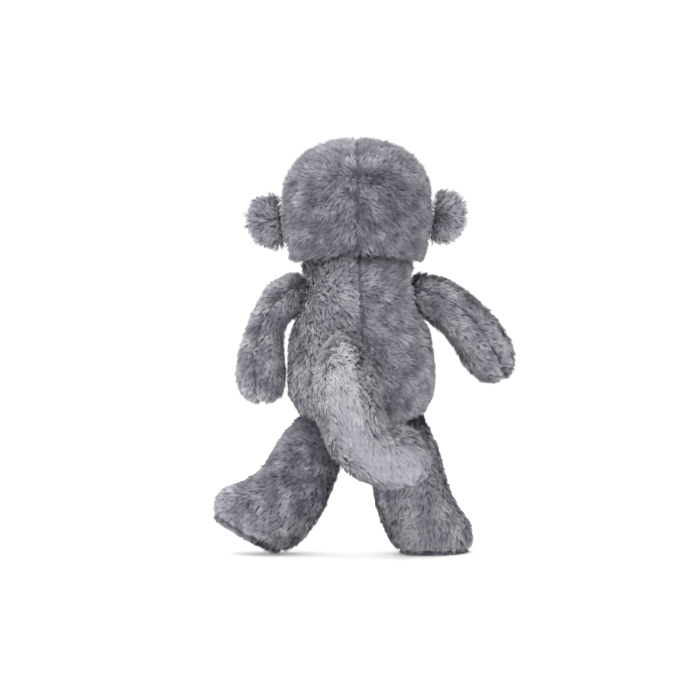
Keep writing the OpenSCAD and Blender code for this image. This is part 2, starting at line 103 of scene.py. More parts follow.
# One kind of pile each. Strand length, strand width, and how deep its skin lies under the outer
# face; degrees that strands lean from upright, and spread sideways; strands per square centimetre;
# the middle of its tones, from 0, dark, to 1, light, at the start and at the far end of its nap;
# and how far its cloudy patches stray from that.
LONG = {
    "length": 6.2 * MM, "width": 0.4 * MM, "depth": 3.6 * MM, "lean": 52, "yaw": 20,
    "per_cm2": 235, "tone": 0.5, "end_tone": 0.5, "mottle": 0.42, "dye": "grey",
}
LIMB = {**LONG, "depth": 2.2 * MM}
# The head's pile darkens along its nap towards its lower end: painted shade under the head.
HEAD = {
    "left": {**LONG, "tone": 0.45, "end_tone": 0.1},
    "right": {**LONG, "tone": 0.34, "end_tone": 0.1},
}
BACK = {
    "left": {**LONG, "tone": 0.64, "end_tone": 0.64},
    "right": {**LONG, "tone": 0.4, "end_tone": 0.42},
}
# Each leg's pile is darker at its top: painted shade under the torso, deeper on the left leg as a painted shadow
# of the torso and tail.
LEG = {
    "left": {**LIMB, "tone": 0.08, "end_tone": 0.66},
    "right": {**LIMB, "tone": 0.3, "end_tone": 0.72},
}
ARM = {**LIMB, "tone": 0.54, "end_tone": 0.64, "mottle": 0.5}
BELLY = {**LONG, "tone": 0.35, "end_tone": 0.35, "dye": "pale"}
TAIL = {**LIMB, "length": 7.5 * MM, "depth": 1.4 * MM, "tone": 1.1, "end_tone": 0.6}
PALE_TAIL = {
    **TAIL, "width": 0.5 * MM, "lean": 54, "yaw": 14, "tone": 1.2, "end_tone": -0.5, "dye": "pale",
}
# An ear's pile is darker at its root: painted shade where it meets the head.
EAR = {
    **LONG, "length": 7 * MM, "depth": 0.6 * MM, "lean": 46, "yaw": 22,
    "tone": 0.3, "end_tone": 0.8,
}
SHORT = {
    "length": 3.4 * MM, "width": 0.42 * MM, "depth": 1.8 * MM, "lean": 34, "yaw": 30,
    "per_cm2": 290, "tone": 0.45, "end_tone": 0.45, "mottle": 0.25, "dye": "pale",
}
SOLE = {**LIMB, "length": 5 * MM, "depth": 0.8 * MM, "lean": 40, "yaw": 40}

WHORL_HEIGHT = 0.8           # the head's nap starts this share of the way up its back seam

# Every soft part: the body it rides on, its outer panels with their pile, what fills it, the voxel
# that its skin is meshed with, and the point that its nap runs away from.
SOFT_PARTS = {
    "head": {
        "body": "head",
        "panels": {
            "head_back_left": HEAD["left"], "head_back_right": HEAD["right"],
            "forehead": HEAD["left"], "face": SHORT,
        },
        "filling": ["head_stuffing"],
        "voxel": 4.2 * MM,
        "start": up_the_box("head_back_thread", WHORL_HEIGHT),
    },
    "muzzle": {
        "body": "head",
        "panels": {"muzzle": SHORT},
        "filling": ["muzzle_stuffing"],
        "voxel": 3 * MM,
        "start": up_the_box("nose"),
    },
    "torso": {
        "body": "torso",
        "panels": {
            "torso_back_left": BACK["left"], "torso_back_right": BACK["right"], "belly": BELLY,
        },
        "filling": ["torso_stuffing"],
        "voxel": 4.2 * MM,
        "start": JOINT_OF["neck"],
    },
    "tail": {
        "body": "tail",
        "panels": {"tail_outer": PALE_TAIL, "tail_inner": TAIL},
        "filling": ["tail_stuffing"],
        "voxel": 3.8 * MM,
        "start": JOINT_OF["tail"],
    },
}
for side in ("left", "right"):
    SOFT_PARTS[f"{side}_arm"] = {
        "body": f"{side}_arm",
        "panels": {f"{side}_arm_outer": ARM, f"{side}_arm_inner": ARM},
        "filling": [f"{side}_arm_stuffing"],
        "voxel": 3.6 * MM,
        "start": JOINT_OF[f"{side}_arm"],
    }
    SOFT_PARTS[f"{side}_leg"] = {
        "body": f"{side}_leg",
        "panels": {
            f"{side}_leg_back": LEG[side], f"{side}_leg_front": LEG[side], f"{side}_sole": SOLE,
        },
        "filling": [f"{side}_leg_stuffing"],
        "voxel": 3.8 * MM,
        "start": JOINT_OF[f"{side}_leg"],
    }
    SOFT_PARTS[f"{side}_ear"] = {
        "body": f"{side}_ear",
        "panels": {f"{side}_ear_back": EAR, f"{side}_ear_lining": SHORT},
        "filling": [],
        "voxel": 2 * MM,
        "start": JOINT_OF[f"{side}_ear"],
    }


# ---------------------------------------------------------------- materials

# The map that holds each strand's tone and height. It has the name that the exporter gives its own
# bake map, so the exporter bakes the pile along this one, and doesn't unwrap every strand.
PALETTE = "OFBake"
PILE_SPECULAR = 0.15
DYE_PATCH = 9 * MM
KNIT_RELIEF = 0.4 * MM
FLOW_PATCH = 3 * MM          # the faint clouds in moulded plastic
FLOW_LIGHTENING = 1.35
FLOW_LIFT = 0.004
PLASTIC_GRAIN = 0.3 * MM
BAND_WIDTH = 0.3             # of a wave texture whose scale is 1
PLY_DISTORTION = 1.5
PLY_RELIEF = 0.3 * MM


def new_material(name, roughness, sheen=0.0):
    """A material with a Principled shader: the material, its node tree and the shader."""
    material = bpy.data.materials.new(name)
    material.use_nodes = True
    shader = material.node_tree.nodes["Principled BSDF"]
    shader.inputs["Roughness"].default_value = roughness
    shader.inputs["Sheen Weight"].default_value = sheen
    return material, material.node_tree, shader


def add_ramp(tree, stops):
    """A colour ramp with (position, colour) stops."""
    ramp = tree.nodes.new("ShaderNodeValToRGB")
    elements = ramp.color_ramp.elements
    while len(elements) < len(stops):
        elements.new(0.5)
    for element, (position, colour) in zip(elements, stops):
        element.position = position
        element.color = colour
    return ramp


def add_noise(tree, size, detail=3.0):
    """Noise with lumps about `size` across, in the object's own space."""
    place = tree.nodes.new("ShaderNodeTexCoord")
    texture = tree.nodes.new("ShaderNodeTexNoise")
    texture.inputs["Scale"].default_value = 1 / size
    texture.inputs["Detail"].default_value = detail
    tree.links.new(place.outputs["Object"], texture.inputs["Vector"])
    return texture


def add_bump(tree, shader, height, distance):
    """Bump from a height socket, `distance` deep."""
    bump = tree.nodes.new("ShaderNodeBump")
    bump.inputs["Distance"].default_value = distance
    bump.inputs["Strength"].default_value = 1.0
    tree.links.new(height, bump.inputs["Height"])
    tree.links.new(bump.outputs["Normal"], shader.inputs["Normal"])


def pile_material(name, tones, root):
    """Dyed pile: a strand's tone runs along U, and it is darker near its root, at V = 0."""
    material, tree, shader = new_material(name, roughness=0.85, sheen=0.25)
    shader.inputs["Specular IOR Level"].default_value = PILE_SPECULAR
    palette = tree.nodes.new("ShaderNodeUVMap")
    palette.uv_map = PALETTE
    split = tree.nodes.new("ShaderNodeSeparateXYZ")
    colour = add_ramp(tree, tones)
    depth = add_ramp(tree, root)
    mix = tree.nodes.new("ShaderNodeMix")
    mix.data_type = "RGBA"
    mix.blend_type = "MULTIPLY"
    mix.inputs["Factor"].default_value = 1.0
    tree.links.new(palette.outputs["UV"], split.inputs["Vector"])
    tree.links.new(split.outputs["X"], colour.inputs["Fac"])
    tree.links.new(split.outputs["Y"], depth.inputs["Fac"])
    tree.links.new(colour.outputs["Color"], mix.inputs["A"])
    tree.links.new(depth.outputs["Color"], mix.inputs["B"])
    tree.links.new(mix.outputs["Result"], shader.inputs["Base Color"])
    return material


def knit_material(name, dark, light, mesh_size=0.9 * MM):
    """The knitted backing of the fur fabric, mottled by its dye."""
    material, tree, shader = new_material(name, roughness=0.95, sheen=0.1)
    mottle = add_noise(tree, DYE_PATCH)
    colour = add_ramp(tree, [(0.35, dark), (0.68, light)])
    tree.links.new(mottle.outputs["Fac"], colour.inputs["Fac"])
    tree.links.new(colour.outputs["Color"], shader.inputs["Base Color"])
    loops = add_noise(tree, mesh_size, detail=1.0)
    add_bump(tree, shader, loops.outputs["Fac"], KNIT_RELIEF)
    return material


def thread_material(name, dark, light, twist=1.3 * MM):
    """Twisted thread: slanted plies, with painted shade in the grooves between them."""
    material, tree, shader = new_material(name, roughness=0.8, sheen=0.2)
    place = tree.nodes.new("ShaderNodeTexCoord")
    plies = tree.nodes.new("ShaderNodeTexWave")
    plies.bands_direction = "DIAGONAL"
    plies.inputs["Scale"].default_value = BAND_WIDTH / twist
    plies.inputs["Distortion"].default_value = PLY_DISTORTION
    ramp = add_ramp(tree, [(0.2, dark), (0.7, light)])
    tree.links.new(place.outputs["Object"], plies.inputs["Vector"])
    tree.links.new(plies.outputs["Fac"], ramp.inputs["Fac"])
    tree.links.new(ramp.outputs["Color"], shader.inputs["Base Color"])
    add_bump(tree, shader, plies.outputs["Fac"], PLY_RELIEF)
    return material


def plastic_material(name, colour, roughness, grain):
    """Moulded plastic: faint flow clouds in its colour and a fine grain."""
    material, tree, shader = new_material(name, roughness)
    cloudiness = add_noise(tree, FLOW_PATCH)
    lighter = [min(1, FLOW_LIGHTENING * level + FLOW_LIFT) for level in colour[:3]]
    ramp = add_ramp(tree, [(0.3, colour), (0.75, (*lighter, 1.0))])
    tree.links.new(cloudiness.outputs["Fac"], ramp.inputs["Fac"])
    tree.links.new(ramp.outputs["Color"], shader.inputs["Base Color"])
    add_bump(tree, shader, add_noise(tree, PLASTIC_GRAIN).outputs["Fac"], grain)
    return material


PILE_MATERIALS = {
    "grey": pile_material(
        "grey_pile",
        [(0.0, srgb(118, 115, 127)), (0.3, srgb(160, 157, 168)), (0.62, srgb(206, 203, 212)),
         (1.0, srgb(250, 248, 252))],
        [(0.0, srgb(140, 138, 148)), (0.45, srgb(212, 211, 216)), (1.0, srgb(255, 255, 255))],
    ),
    "pale": pile_material(
        "pale_pile",
        [(0.0, srgb(208, 205, 214)), (0.5, srgb(236, 234, 238)), (1.0, srgb(255, 255, 255))],
        [(0.0, srgb(232, 230, 235)), (0.45, srgb(248, 247, 250)), (1.0, srgb(255, 255, 255))],
    ),
}
KNIT_MATERIALS = {
    "grey": knit_material("grey_knit", srgb(84, 82, 90), srgb(112, 110, 118)),
    "pale": knit_material("pale_knit", srgb(150, 147, 150), srgb(182, 179, 182)),
}
grey_thread = thread_material("grey_thread", srgb(48, 46, 52), srgb(92, 90, 98))
dark_thread = thread_material("dark_thread", srgb(26, 24, 26), srgb(58, 54, 56))
eye_plastic = plastic_material("eye_plastic", srgb(9, 7, 7), roughness=0.06, grain=0.002 * MM)
nose_plastic = plastic_material("nose_plastic", srgb(34, 29, 30), roughness=0.35, grain=0.03 * MM)
washer_plastic = plastic_material(
    "washer_plastic", srgb(222, 222, 214), roughness=0.5, grain=0.02 * MM,
)
bag_cloth = knit_material("bag_cloth", srgb(205, 200, 188), srgb(226, 222, 212), mesh_size=0.6 * MM)


# ---------------------------------------------------------------- meshes and their fields

def read(mesh, what, name, width=3):
    """One attribute of every vertex or edge of a mesh, as rows."""
    items = getattr(mesh, what)
    values = np.empty(len(items) * width, dtype=np.int32 if name == "vertices" else np.float32)
    items.foreach_get(name, values)
    return values.reshape(-1, width)


def write_points(mesh, points):
    """Moves a mesh's vertices to these points."""
    mesh.vertices.foreach_set("co", np.asarray(points, dtype=np.float32).ravel())
    mesh.update()


def keep_field(mesh, name, values):
    """Stores one number for each point, which subdivision then carries along."""
    field = mesh.attributes.new(name, "FLOAT", "POINT")
    field.data.foreach_set("value", np.asarray(values, dtype=np.float32))


def kept_field(mesh, name):
    """The numbers that keep_field stored, one for each point."""
    values = np.empty(len(mesh.vertices), dtype=np.float32)
    mesh.attributes[name].data.foreach_get("value", values)
    return values


def link(name, data):
    """A new object in the scene."""
    thing = bpy.data.objects.new(name, data)
    scene.collection.objects.link(thing)
    return thing


def mesh_of(shape, name):
    """Turns a bmesh into a mesh."""
    mesh = bpy.data.meshes.new(name)
    shape.to_mesh(mesh)
    shape.free()
    return mesh


def bake_modifiers(thing):
    """Replaces the mesh with what its modifiers make of it."""
    evaluated = thing.evaluated_get(bpy.context.evaluated_depsgraph_get())
    mesh = bpy.data.meshes.new_from_object(evaluated)
    thing.modifiers.clear()
    thing.data = mesh


def subdivide(thing):
    """Halves every edge of the mesh and rounds it."""
    halve = thing.modifiers.new("halve", "SUBSURF")
    halve.levels = 1
    bake_modifiers(thing)


def surface_of(names):
    """A search tree over the faces of some CAD nodes."""
    points, faces = [], []
    for name in names:
        mesh = frame["nodes"][name].data
        first = len(points)
        points += [vertex.co for vertex in mesh.vertices]
        faces += [[first + index for index in face.vertices] for face in mesh.polygons]
    return BVHTree.FromPolygons(points, faces)


def distances(surface, points):
    """How far every point is from a surface."""
    return np.array([surface.find_nearest(point)[3] for point in points])


# ---------------------------------------------------------------- stuffed skins

SMOOTHING_PASSES = 3
SOCKET_DEPTH = 1.2 * MM      # where a limb sits in its socket the skin stays near the CAD face
PANEL_BLEND = 2.5 * MM       # over this distance the skin steps from one panel's depth to the next's
SWELL_LIMIT = 1.8 * MM
CLOTH_FRAMES = 20
CLOTH_PRESSURE = 4.0
HELD_ROOM = 0.2              # with less room than this in front, the skin doesn't swell
GROOVE_DEPTH = 1.6 * MM
GROOVE_WIDTH = 2.4 * MM
SOCKET_GAP = 3.6 * MM        # facing another body nearer than this, the pile is squeezed flat
OPEN_AIR = 9.0 * MM          # facing nothing nearer than this, it stands at its full length
ROOM_SMOOTHING_PASSES = 2
CREASE_WIDTH = 13 * MM       # this near another body, pile in the open fluffs up over the crease
CREASE_RISE = 0.6            # how much less deep the skin lies there
NO_SEAM = 1.0                # a lone panel's distance from its seams, further than any panel is wide


def closed_skin(name, nodes, voxel):
    """One closed, evenly meshed skin around the CAD nodes."""
    shape = bmesh.new()
    for node in nodes:
        shape.from_mesh(frame["nodes"][node].data)
    skin = link(name, mesh_of(shape, name))
    remesh = skin.modifiers.new("even mesh", "REMESH")
    remesh.mode = "VOXEL"
    remesh.voxel_size = voxel
    smooth = skin.modifiers.new("smooth", "SMOOTH")
    smooth.iterations = SMOOTHING_PASSES
    bake_modifiers(skin)
    keep_outer_shell(skin.data)
    return skin


def keep_outer_shell(mesh):
    """Drops every closed shell but the one with the most points."""
    shape = bmesh.new()
    shape.from_mesh(mesh)
    left = set(shape.verts)
    shells = []
    while left:
        shell = []
        front = [left.pop()]
        while front:
            vertex = front.pop()
            shell.append(vertex)
            for edge in vertex.link_edges:
                other = edge.other_vert(vertex)
                if other in left:
                    left.remove(other)
                    front.append(other)
        shells.append(shell)
    shells.sort(key=len)
    for shell in shells[:-1]:
        bmesh.ops.delete(shape, geom=shell, context="VERTS")
    shape.to_mesh(mesh)
    shape.free()


def panel_fields(mesh, part):
    """How far every point lies from each panel, as columns."""
    return np.array([kept_field(mesh, panel) for panel in part["panels"]]).T


def seam_distances(near):
    """How far each point is from the nearest seam, from its distances to the panels."""
    if near.shape[1] == 1:
        return np.full(len(near), NO_SEAM)
    first, second = np.sort(near, axis=1)[:, :2].T
    return second - first


def room_in_front(mesh, others):
    """How freely the pile stands at every point: 0 in a socket, 1 where it faces open air."""
    points = read(mesh, "vertices", "co")
    normals = read(mesh, "vertices", "normal")
    hits = [others.ray_cast(point, way, OPEN_AIR)[3] for point, way in zip(points, normals)]
    gaps = np.array([OPEN_AIR if hit is None else hit for hit in hits])
    room = clamp((gaps - SOCKET_GAP) / (OPEN_AIR - SOCKET_GAP))
    here, there = read(mesh, "edges", "vertices", 2).T
    for _ in range(ROOM_SMOOTHING_PASSES):
        total, count = room.copy(), np.ones(len(room))
        for near, far in ((here, there), (there, here)):
            np.add.at(total, near, room[far])
            np.add.at(count, near, 1)
        room = total / count
    return room


def skin_depths(part, near, room, crease):
    """How deep the skin lies under the CAD face: each panel's own depth, blended at the seams."""
    shares = np.exp(-(near - near.min(axis=1, keepdims=True)) / PANEL_BLEND)
    depths = np.array([pile["depth"] for pile in part["panels"].values()])
    depth = (shares * depths).sum(axis=1) / shares.sum(axis=1)
    depth *= 1 - CREASE_RISE * crease
    return np.minimum(depth, SOCKET_DEPTH + (depth - SOCKET_DEPTH) * room)


def swell(skin, hold):
    """Blows the skin up as cloth under pressure, held back by each point's share in `hold`."""
    mesh = skin.data
    start = read(mesh, "vertices", "co")
    group = skin.vertex_groups.new(name="hold")
    for index, share in enumerate(hold):
        group.add([index], float(share), "REPLACE")
    cloth = skin.modifiers.new("swell", "CLOTH")
    cloth.settings.use_pressure = True
    cloth.settings.uniform_pressure_force = CLOTH_PRESSURE
    cloth.settings.vertex_group_mass = group.name
    cloth.settings.effector_weights.gravity = 0
    for frame_number in range(1, CLOTH_FRAMES + 1):
        scene.frame_set(frame_number)
    evaluated = skin.evaluated_get(bpy.context.evaluated_depsgraph_get())
    moved = read(evaluated.data, "vertices", "co") - start
    skin.modifiers.remove(cloth)
    skin.vertex_groups.remove(group)
    scene.frame_set(1)
    travel = np.linalg.norm(moved, axis=1, keepdims=True)
    write_points(mesh, start + moved * np.minimum(1, SWELL_LIMIT / np.maximum(travel, TINY)))


def press_seams(mesh, part):
    """Presses a groove into the skin along its seams."""
    seam = seam_distances(panel_fields(mesh, part))
    groove = GROOVE_DEPTH * np.exp(-(seam / GROOVE_WIDTH) ** 2)
    points = read(mesh, "vertices", "co")
    write_points(mesh, points - read(mesh, "vertices", "normal") * groove[:, None])


def make_skin(name, part, others):
    """The stuffed skin of one soft part, with the fields that its pile is grown from."""
    skin = closed_skin(name, [*part["panels"], *part["filling"]], part["voxel"])
    mesh = skin.data
    points = read(mesh, "vertices", "co")
    normals = read(mesh, "vertices", "normal")
    near = np.array([distances(surface_of([panel]), points) for panel in part["panels"]]).T
    room = room_in_front(mesh, others)
    crease = clamp(1 - distances(others, points) / CREASE_WIDTH) * room
    for panel, values in zip(part["panels"], near.T):
        keep_field(mesh, panel, values)
    keep_field(mesh, "room", room)
    keep_field(mesh, "crease", crease)
    write_points(mesh, points - normals * skin_depths(part, near, room, crease)[:, None])
    held = (seam_distances(near) < GROOVE_WIDTH) | (room < HELD_ROOM)
    swell(skin, np.where(held, 1.0, 0.0))
    subdivide(skin)
    press_seams(skin.data, part)
    skin.data.shade_smooth()
    return skin


def dye_skin(mesh, part):
    """Gives every face of the skin the knit that its nearest panel is dyed as."""
    dyes = list(KNIT_MATERIALS)
    mesh.materials.clear()
    for dye in dyes:
        mesh.materials.append(KNIT_MATERIALS[dye])
    slots = [dyes.index(pile["dye"]) for pile in part["panels"].values()]
    nearest = np.argmin(panel_fields(mesh, part), axis=1)
    for face in mesh.polygons:
        face.material_index = slots[nearest[face.vertices[0]]]


# ---------------------------------------------------------------- nap

NAP_SMOOTHING_PASSES = 12
UNREACHED = 1e3


def walked(points, edges, start):
    """How far every point is from the start, walking over the skin."""
    ends = edges.T
    steps = np.linalg.norm(points[ends[0]] - points[ends[1]], axis=1)
    reach = np.full(len(points), UNREACHED)
    reach[np.argmin(np.linalg.norm(points - start, axis=1))] = 0
    before = None
    while before is None or np.any(reach < before):
        before = reach.copy()
        for here, there in (ends, ends[::-1]):
            np.minimum.at(reach, here, before[there] + steps)
    return reach


def nap(mesh, start):
    """The way the pile lies at every point, away from the start, and how far along it is, 0 to 1."""
    points = read(mesh, "vertices", "co")
    normals = read(mesh, "vertices", "normal")
    edges = read(mesh, "edges", "vertices", 2)

    def laid_flat(way):
        return unit(way - normals * (way * normals).sum(axis=1, keepdims=True))

    reach = walked(points, edges, start)
    here, there = edges.T
    along = points[there] - points[here]
    rise = (reach[there] - reach[here]) / np.maximum((along ** 2).sum(axis=1), TINY)
    way = np.zeros_like(points)
    for ends in (here, there):
        np.add.at(way, ends, along * rise[:, None])
    for _ in range(NAP_SMOOTHING_PASSES):
        way = laid_flat(way)
        spread = way.copy()
        np.add.at(spread, here, way[there])
        np.add.at(spread, there, way[here])
        way = spread
    return laid_flat(way), reach / reach.max()


# ---------------------------------------------------------------- pile

STRANDS_PER_TUFT = 8
# A strand's five corners are two at its root, two at its middle, and its tip.
STRAND_CORNERS = 5
STRAND_FACES = ((0, 1, 3, 2), (2, 3, 4))
CORNER_HEIGHTS = (0.02, 0.02, 0.5, 0.5, 0.98)
MIDDLE_WIDTH = 0.9           # of its width at the root
TUFT_PULL = 0.16             # how far a strand's tip is drawn to the one in the middle of its tuft
MIDDLE_PULL = 0.4 * TUFT_PULL
BEND = math.radians(14)      # a strand leans this much less at its root, and more at its tip
LEAST_LEAN = 0.1             # in radians, as the other angles here are
MOST_LEAN = 1.35
MOST_TIP_LEAN = 1.5
TUFT_LEAN = 0.13             # how much the lean varies between tufts,
STRAND_LEAN = 0.16           # and between the strands in one
STRAND_YAW = 0.22
STRAND_ROLL = 0.9            # the most that a flat strand turns about its own line
TUFT_LENGTH = 0.14           # the share by which the length varies between tufts
SHORTEST = 0.75              # a strand's own length is between these shares of its tuft's
LONGEST = 1.1
SHADE_LEAN = 0.35            # how far a strand's shading leans with it
SHADE_SCATTER = 0.22
TONE_SCATTER = 0.06
PATCH_SIZE = 11 * MM         # cloudy patches in the dye, and smaller ones in them
SMALL_PATCH_SIZE = 4.5 * MM
SMALL_PATCH_SHARE = 0.5
PATCH_PLACE, SMALL_PATCH_PLACE, WANDER_PLACE = 1, 3, 7     # where in the noise each is read
LEAST_TONE, MOST_TONE = 0.02, 0.98
SQUEEZED_LENGTH = 0.35
CREASE_LENGTH = 0.35         # over a crease, how much longer the pile is,
CREASE_LIFT = 0.4            # how much less it leans,
CREASE_PAINTED_SHADE = 0.32      # and how much darker it is painted, as the shade that falls in the crease
SEAM_GAP = 0.8 * MM          # bare stitching on each side of a seam
SEAM_SHORTENING = 3.5 * MM   # pile this near a seam is partly caught in it
SEAM_LENGTH = 0.2            # what is left of its length there
SEAM_WANDER = 1.0 * MM
SEAM_WANDER_SIZE = 12 * MM
SEAM_PAINTED_SHADE = 0.5         # painted shade along a seam, for its shadowed groove and the dark roots that show there
SEAM_SHADE_WIDTH = 2.0 * MM
FLOOR_CLEARANCE = 0.15 * MM  # no strand comes nearer the floor than this
CM2_PER_M2 = 1e4


def sow(mesh, per_cm2, random):
    """Random roots over a skin: each root's triangle corners and its share of each corner."""
    mesh.calc_loop_triangles()
    corners = np.empty(len(mesh.loop_triangles) * 3, dtype=np.int32)
    mesh.loop_triangles.foreach_get("vertices", corners)
    corners = corners.reshape(-1, 3)
    start, left, right = (read(mesh, "vertices", "co")[column] for column in corners.T)
    area_so_far = np.cumsum(np.linalg.norm(np.cross(left - start, right - start), axis=1) / 2)
    count = int(area_so_far[-1] * CM2_PER_M2 * per_cm2)
    chosen = np.searchsorted(area_so_far, random.random(count) * area_so_far[-1])
    first, second = random.random((2, count))
    fold = first + second > 1
    first[fold], second[fold] = 1 - first[fold], 1 - second[fold]
    return corners[chosen], np.stack([1 - first - second, first, second], axis=1)


def at_roots(values, corners, shares):
    """A field of the skin's points, blended at every root from its triangle's corners."""
    shares = shares.reshape(shares.shape + (1,) * (values.ndim - 1))
    return (values[corners] * shares).sum(axis=1)


def tufts_of(roots, count):
    """Which tuft every strand belongs to: the nearest of the first `count` roots."""
    tree = kdtree.KDTree(count)
    for index in range(count):
        tree.insert(roots[index], index)
    tree.balance()
    return np.array([tree.find(root)[1] for root in roots])


def cloud(points, size, place):
    """Smooth noise, about -1 to 1, with lumps about `size` across."""
    shift = Vector((place, -place, 2 * place))
    return np.array([noise.noise(Vector(point) / size + shift) for point in points])


def scatter(random, tuft, between_tufts, between_strands):
    """A random change for every strand: one that its whole tuft shares, plus one of its own."""
    shared = between_tufts * random.normal(size=tuft.max() + 1)[tuft]
    return shared + between_strands * random.normal(size=len(tuft))


def strand_angles(spots, tuft, pile, random):
    """How far every strand turns sideways from the nap, and leans from upright."""
    yaw = scatter(random, tuft, np.radians(pile["yaw"]), STRAND_YAW)
    lean = np.radians(pile["lean"]) + TUFT_LEAN * random.normal(size=tuft.max() + 1)[tuft]
    lean *= 1 - CREASE_LIFT * spots["crease"]
    return yaw, clamp(lean + STRAND_LEAN * random.normal(size=len(tuft)), LEAST_LEAN, MOST_LEAN)


def strand_lengths(spots, tuft, pile, random):
    """Every strand's length: less where it is squeezed or caught in a seam, more over a crease."""
    size = pile["length"] * (1 + TUFT_LENGTH * random.normal(size=tuft.max() + 1)[tuft])
    size *= random.uniform(SHORTEST, LONGEST, len(tuft))
    free = SQUEEZED_LENGTH + (1 - SQUEEZED_LENGTH) * spots["room"]
    size *= free + CREASE_LENGTH * spots["crease"]
    return size * (SEAM_LENGTH + (1 - SEAM_LENGTH) * clamp(spots["seam"] / SEAM_SHORTENING))


def strand_tones(spots, tuft, pile, random):
    """Every strand's tone, from 0, dark, to 1, light, with painted shade along the seams and over the creases."""
    middles = spots["points"][:tuft.max() + 1]
    tone = pile["tone"] + (pile["end_tone"] - pile["tone"]) * spots["along"]
    tone += pile["mottle"] * cloud(middles, PATCH_SIZE, PATCH_PLACE)[tuft]
    small_mottle = SMALL_PATCH_SHARE * pile["mottle"]
    tone += small_mottle * cloud(middles, SMALL_PATCH_SIZE, SMALL_PATCH_PLACE)[tuft]
    tone += scatter(random, tuft, TONE_SCATTER, TONE_SCATTER)
    # painted shade: darker along the seams and over the creases
    tone -= SEAM_PAINTED_SHADE * np.exp(-(spots["seam"] / SEAM_SHADE_WIDTH) ** 2)
    tone -= CREASE_PAINTED_SHADE * spots["crease"]
    return clamp(tone, LEAST_TONE, MOST_TONE)


def grow(spots, pile, random):
    """The corners of every strand from root to tip, its shading normal and its tone."""
    roots, normals, naps = spots["points"], unit(spots["normals"]), unit(spots["naps"])
    count = len(roots)
    tuft = tufts_of(roots, max(1, count // STRANDS_PER_TUFT))
    yaw, lean = strand_angles(spots, tuft, pile, random)
    half = (strand_lengths(spots, tuft, pile, random) / 2)[:, None]
    way = naps * np.cos(yaw)[:, None] + np.cross(normals, naps) * np.sin(yaw)[:, None]

    def leaning(angle):
        return normals * np.cos(angle)[:, None] + way * np.sin(angle)[:, None]

    middles = roots + half * leaning(lean - BEND)
    tips = middles + half * leaning(np.minimum(lean + BEND, MOST_TIP_LEAN))
    middles += MIDDLE_PULL * (middles[tuft] - middles)
    tips += TUFT_PULL * (tips[tuft] - tips)
    roll = random.uniform(-STRAND_ROLL, STRAND_ROLL, count)[:, None]
    line = unit(tips - roots)
    across = unit(np.cross(line, normals))
    across = across * np.cos(roll) + np.cross(line, across) * np.sin(roll)
    wide = across * pile["width"] / 2
    narrow = MIDDLE_WIDTH * wide
    points = np.stack(
        [roots - wide, roots + wide, middles - narrow, middles + narrow, tips], axis=1,
    )
    shade = unit(normals + SHADE_LEAN * way + SHADE_SCATTER * random.normal(size=(count, 3)))
    return points, shade, strand_tones(spots, tuft, pile, random)


def strand_mesh(name, points, shade, tone):
    """A mesh of flat tapering strands, each a quad and a triangle."""
    count = len(points)
    strand = np.arange(count)[:, None]
    corners = np.concatenate(STRAND_FACES)
    mesh = bpy.data.meshes.new(name)
    mesh.vertices.add(count * STRAND_CORNERS)
    mesh.vertices.foreach_set("co", points.astype(np.float32).ravel())
    indices = strand * STRAND_CORNERS + corners
    mesh.loops.add(count * len(corners))
    mesh.loops.foreach_set("vertex_index", indices.astype(np.int32).ravel())
    starts = strand * len(corners) + np.array([0, len(STRAND_FACES[0])])
    mesh.polygons.add(count * len(STRAND_FACES))
    mesh.polygons.foreach_set("loop_start", starts.astype(np.int32).ravel())
    mesh.update(calc_edges=True)
    height = np.array(CORNER_HEIGHTS)[corners]
    places = np.stack(np.broadcast_arrays(tone[:, None], height[None, :]), axis=-1)
    layer = mesh.uv_layers.new(name=PALETTE)
    layer.uv.foreach_set("vector", places.astype(np.float32).ravel())
    mesh.shade_smooth()
    mesh.normals_split_custom_set_from_vertices(np.repeat(shade, STRAND_CORNERS, axis=0))
    return mesh


def make_pile(part, skin, random):
    """One object of strands for each panel of a soft part."""
    mesh = skin.data
    naps, along = nap(mesh, part["start"])
    fields = {
        "points": read(mesh, "vertices", "co"),
        "normals": read(mesh, "vertices", "normal"),
        "naps": naps,
        "along": along,
        "room": kept_field(mesh, "room"),
        "crease": kept_field(mesh, "crease"),
    }
    panel_distances = panel_fields(mesh, part)
    for index, (panel, pile) in enumerate(part["panels"].items()):
        corners, shares = sow(mesh, pile["per_cm2"], random)
        spots = {name: at_roots(values, corners, shares) for name, values in fields.items()}
        near = at_roots(panel_distances, corners, shares)
        near[:, 0] += SEAM_WANDER * cloud(spots["points"], SEAM_WANDER_SIZE, WANDER_PLACE)
        spots["seam"] = seam_distances(near)
        mine = (np.argmin(near, axis=1) == index) & (spots["seam"] > SEAM_GAP)
        spots = {name: values[mine] for name, values in spots.items()}
        strands, shade, tone = grow(spots, pile, random)
        strands[..., 2] = np.maximum(strands[..., 2], cad_low.z + FLOOR_CLEARANCE)
        fur = link(f"{panel}_pile", strand_mesh(f"{panel}_pile", strands, shade, tone))
        fur.data.materials.append(PILE_MATERIALS[pile["dye"]])
        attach(fur, part["body"])
        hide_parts(panel)


def neighbours(part):
    """The outer panels of the other bodies. The ears are left out, as no pile shrinks from them."""
    return [
        panel for other in SOFT_PARTS.values() for panel in other["panels"]
        if other["body"] != part["body"] and not other["body"].endswith("_ear")
    ]


def make_soft_parts():
    """Every stuffed part: its skin, in place of its filling, and its pile, in place of its panels."""
    for seed, (name, part) in enumerate(SOFT_PARTS.items(), start=1):
        skin = make_skin(f"{name}_skin", part, surface_of(neighbours(part)))
        dye_skin(skin.data, part)
        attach(skin, part["body"])
        if part["filling"]:
            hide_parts(*part["filling"])
        SLOT_OF[next(iter(part["panels"]))]
        make_pile(part, skin, np.random.default_rng(seed))


# ---------------------------------------------------------------- eyes and nose

